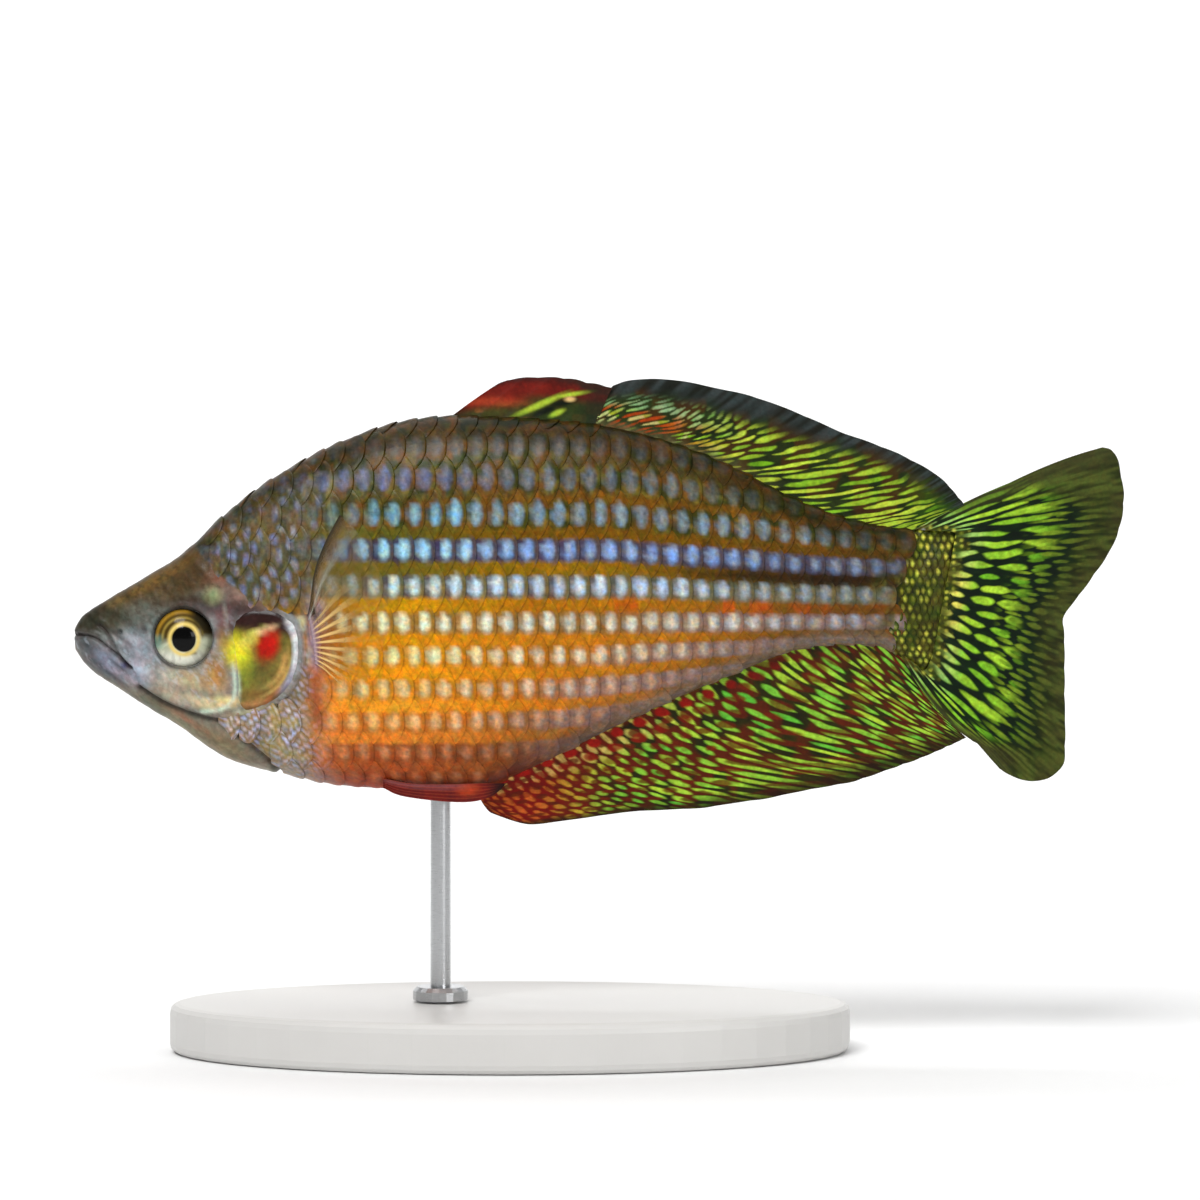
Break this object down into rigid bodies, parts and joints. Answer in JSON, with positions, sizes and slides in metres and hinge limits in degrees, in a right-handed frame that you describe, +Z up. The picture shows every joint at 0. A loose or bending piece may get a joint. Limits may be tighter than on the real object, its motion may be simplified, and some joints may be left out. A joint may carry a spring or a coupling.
{
  "type": "checkered rainbowfish model",
  "caption": "Still, life-size model of a deep-bodied male checkered rainbowfish with raised fins, held level over a flat oval base on one rod.",
  "frame": {"origin": "centre of the stand base's underside", "axes": "+X from the snout towards the tail, +Y towards the fish's right side, +Z up; the left side faces -Y"},
  "size_m": [0.1297, 0.046, 0.0832],
  "materials": {
    "scaled_skin": "glossy painted scales",
    "gill_cover": "glossy gold and silver",
    "eye": "polished gold iris with a black pupil",
    "red_fin": "satin red membrane",
    "green_fin": "satin dark green with yellow-green dashes",
    "clear_fin": "thin, nearly clear membrane",
    "base_white": "satin off-white",
    "rod_steel": "brushed"
  },
  "bodies": {
    "root": {"head": "scaled_skin", "lower_jaw": "scaled_skin", "throat": "scaled_skin", "trunk": "scaled_skin", "tail_stalk": "scaled_skin", "gill_cover_left": "gill_cover", "gill_cover_right": "gill_cover", "eye_left": "eye", "eye_right": "eye", "first_dorsal_fin": "red_fin", "second_dorsal_fin": "green_fin", "anal_fin": "green_fin", "tail_fin": "green_fin", "pectoral_fin_left": "clear_fin", "pectoral_fin_right": "clear_fin", "pelvic_fin_left": "red_fin", "pelvic_fin_right": "red_fin", "stand_base": "base_white", "stand_rod": "rod_steel"}
  },
  "joints": []
}
